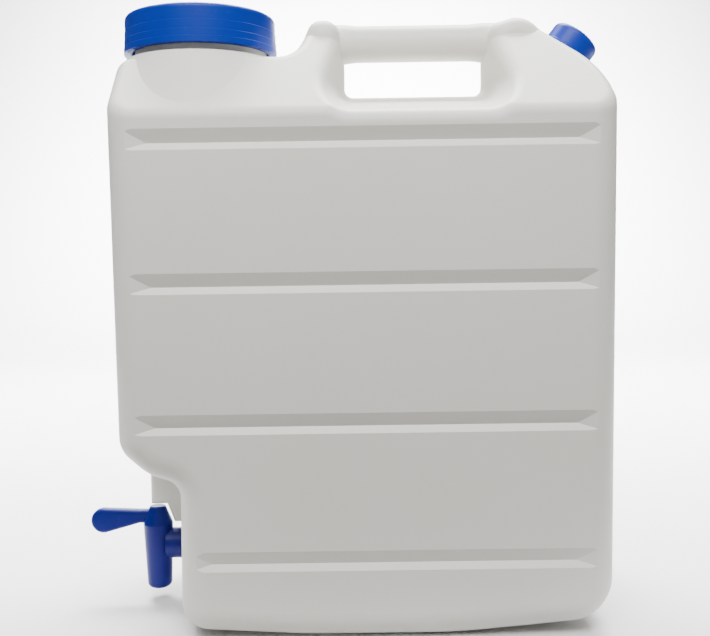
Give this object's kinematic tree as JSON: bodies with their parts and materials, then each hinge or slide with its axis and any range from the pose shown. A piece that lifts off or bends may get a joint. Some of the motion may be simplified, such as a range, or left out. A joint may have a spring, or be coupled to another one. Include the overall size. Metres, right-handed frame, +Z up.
{
  "type": "water carboy",
  "caption": "Flat white plastic water carboy with a wide screw cap, a tilted vent cap, a moulded-in carrying grip and a lever tap set in a notch at its lower corner.",
  "frame": {"origin": "middle of the flat base between the two side walls, on the mould's parting plane", "axes": "+X towards the vent and away from the tap, -Y towards the viewer of the picture, +Z up"},
  "size_m": [0.3741, 0.164, 0.4248],
  "materials": {
    "tank": "satin, milky white polyethylene",
    "wide_cap": "satin, mid blue",
    "vent_cap": "satin, lighter blue",
    "tap_barrel": "smooth, dark blue",
    "tap_lever": "smooth, dark blue",
    "seal": "soft, off-white"
  },
  "bodies": {
    "tank": {"tank_body": "tank", "tap_barrel": "tap_barrel", "tap_seal": "seal", "tap_back_nut": "tap_barrel"},
    "wide_seal": {"wide_cap_seal": "seal"},
    "wide_cap": {"wide_cap": "wide_cap"},
    "vent_seal": {"vent_cap_seal": "seal"},
    "vent_cap": {"vent_cap": "vent_cap"},
    "tap_lever": {"tap_lever": "tap_lever"}
  },
  "joints": [
    {"name": "wide_cap_lift", "type": "slide", "parent": "tank", "child": "wide_seal", "axis": [0, 0, 1], "range_m": [0, 0.06]},
    {"name": "wide_cap_turn", "type": "hinge", "parent": "wide_seal", "child": "wide_cap", "pos_m": [-0.1141, 0, 0.4196], "axis": [0, 0, 1], "range_deg": [0, 540]},
    {"name": "vent_cap_lift", "type": "slide", "parent": "tank", "child": "vent_seal", "axis": [0.6088, 0, 0.7934], "range_m": [0, 0.035]},
    {"name": "vent_cap_turn", "type": "hinge", "parent": "vent_seal", "child": "vent_cap", "pos_m": [0.15307, 0, 0.40655], "axis": [0.6088, 0, 0.7934], "range_deg": [0, 540]},
    {"name": "tap_lever_turn", "type": "hinge", "parent": "tank", "child": "tap_lever", "pos_m": [-0.1564, 0, 0.0578], "axis": [0, 0, 1], "range_deg": [-90, 90]}
  ]
}
